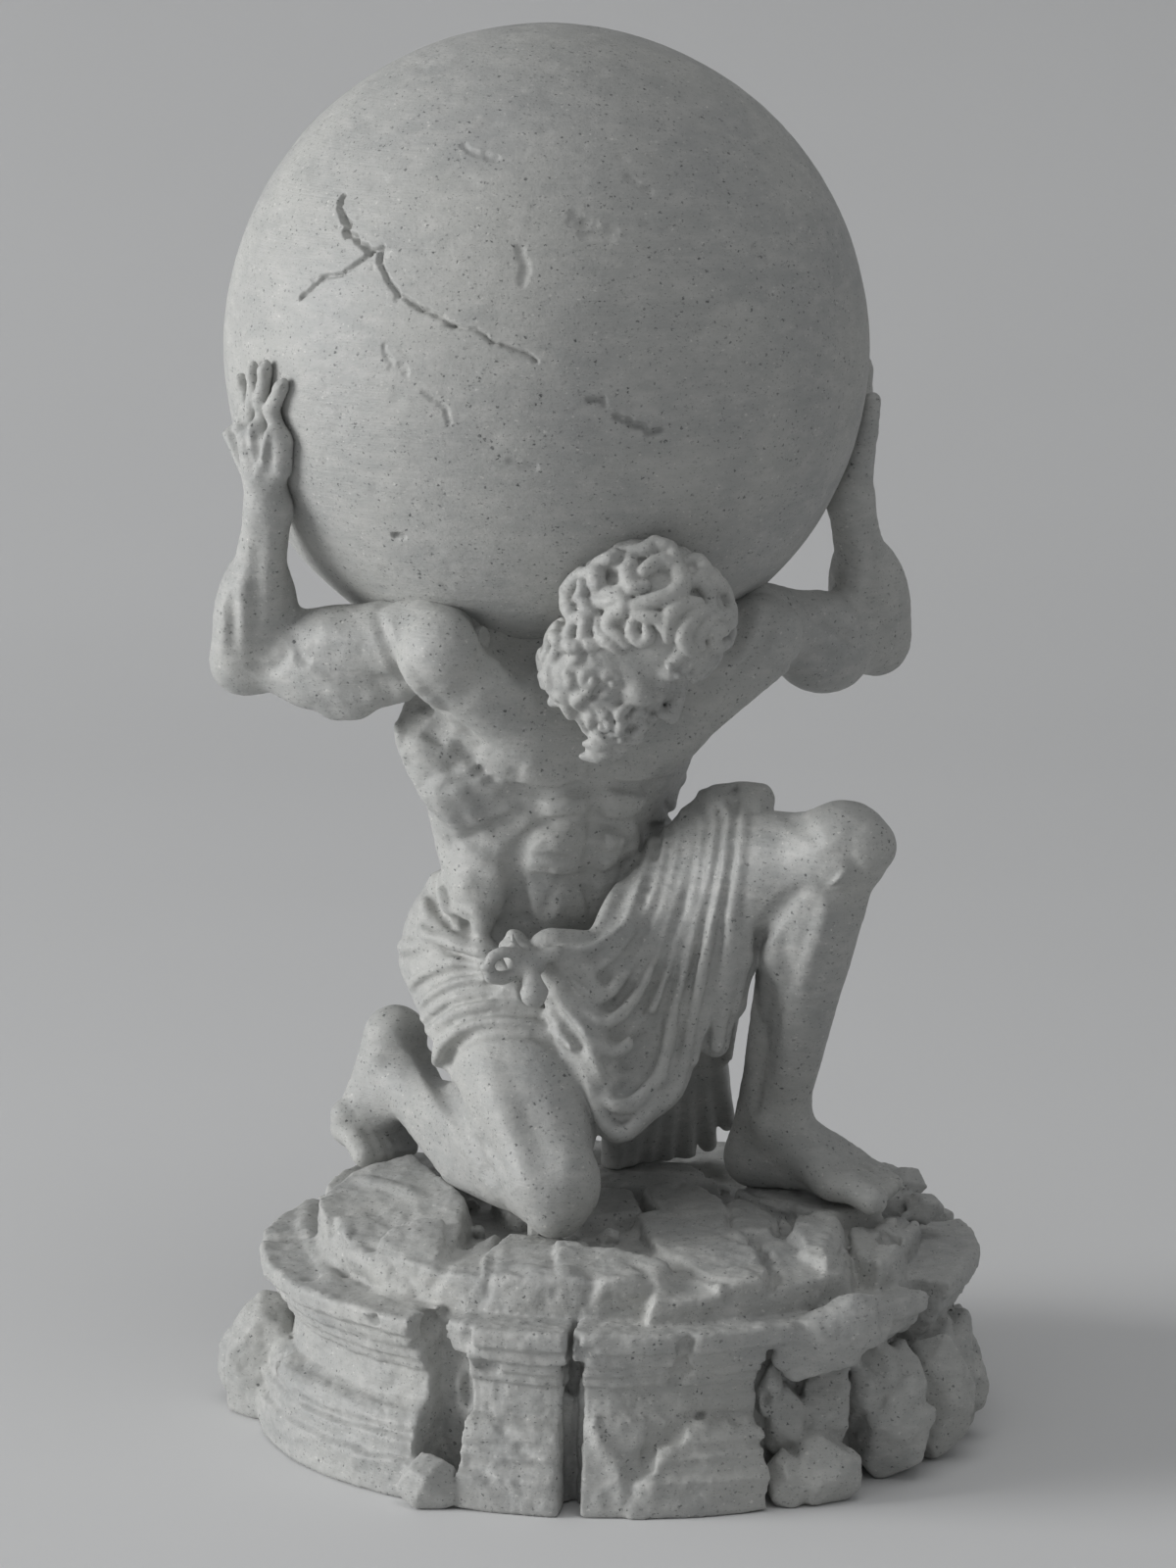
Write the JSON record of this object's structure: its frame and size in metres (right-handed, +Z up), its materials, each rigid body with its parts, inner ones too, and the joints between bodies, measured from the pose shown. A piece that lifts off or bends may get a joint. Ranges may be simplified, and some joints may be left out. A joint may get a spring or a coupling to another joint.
{
  "type": "atlas statue",
  "caption": "Statuette of a kneeling, draped man who carries a globe on his shoulders, on a round ruined pedestal; stands on a desk or shelf as an ornament or paperweight.",
  "frame": {"origin": "middle of the pedestal's flat underside", "axes": "+Z up; the front of the statuette faces -Y; +X is to the viewer's right from the front"},
  "size_m": [0.1121, 0.1139, 0.199],
  "materials": {
    "stone_effect": "light grey speckled stone effect, matt to satin",
    "peg": "plain grey, hidden inside the joints"
  },
  "bodies": {
    "root": {"torso": "stone_effect", "head": "stone_effect", "right_upper_arm": "stone_effect", "left_upper_arm": "stone_effect", "right_forearm": "stone_effect", "left_forearm": "stone_effect", "right_hand": "stone_effect", "left_hand": "stone_effect", "right_thigh": "stone_effect", "left_thigh": "stone_effect", "right_shin": "stone_effect", "left_shin": "stone_effect", "right_foot": "stone_effect", "left_foot": "stone_effect", "drape_hips": "stone_effect", "drape_swag": "stone_effect", "drape_tail": "stone_effect", "belt_knot": "stone_effect", "plinth_core": "stone_effect", "wall_left": "stone_effect", "wall_front_left": "stone_effect", "wall_front_right": "stone_effect", "wall_front_rubble": "stone_effect", "wall_right_cornice": "stone_effect", "wall_far_right": "stone_effect", "wall_back_right": "stone_effect", "wall_back": "stone_effect", "wall_back_left": "stone_effect", "wall_rear_left": "stone_effect", "wall_front_foot": "stone_effect", "boulder_right_front": "stone_effect", "boulder_right": "stone_effect", "boulder_right_back": "stone_effect", "boulder_front": "stone_effect", "boulder_left": "stone_effect", "boulder_left_back": "stone_effect", "knee_slab": "stone_effect", "toe_slab": "stone_effect", "step_slab": "stone_effect", "centre_slab": "stone_effect", "left_slab": "stone_effect", "inner_slab": "stone_effect", "front_slab": "stone_effect", "right_slab": "stone_effect", "far_slab": "stone_effect", "back_slab": "stone_effect", "rear_slab": "stone_effect", "rim_slab_left": "stone_effect", "rim_slab_right": "stone_effect", "globe": "stone_effect", "globe_peg": "peg", "neck_peg": "peg", "right_arm_peg": "peg", "left_arm_peg": "peg", "waist_peg": "peg", "knee_peg": "peg"}
  },
  "joints": []
}
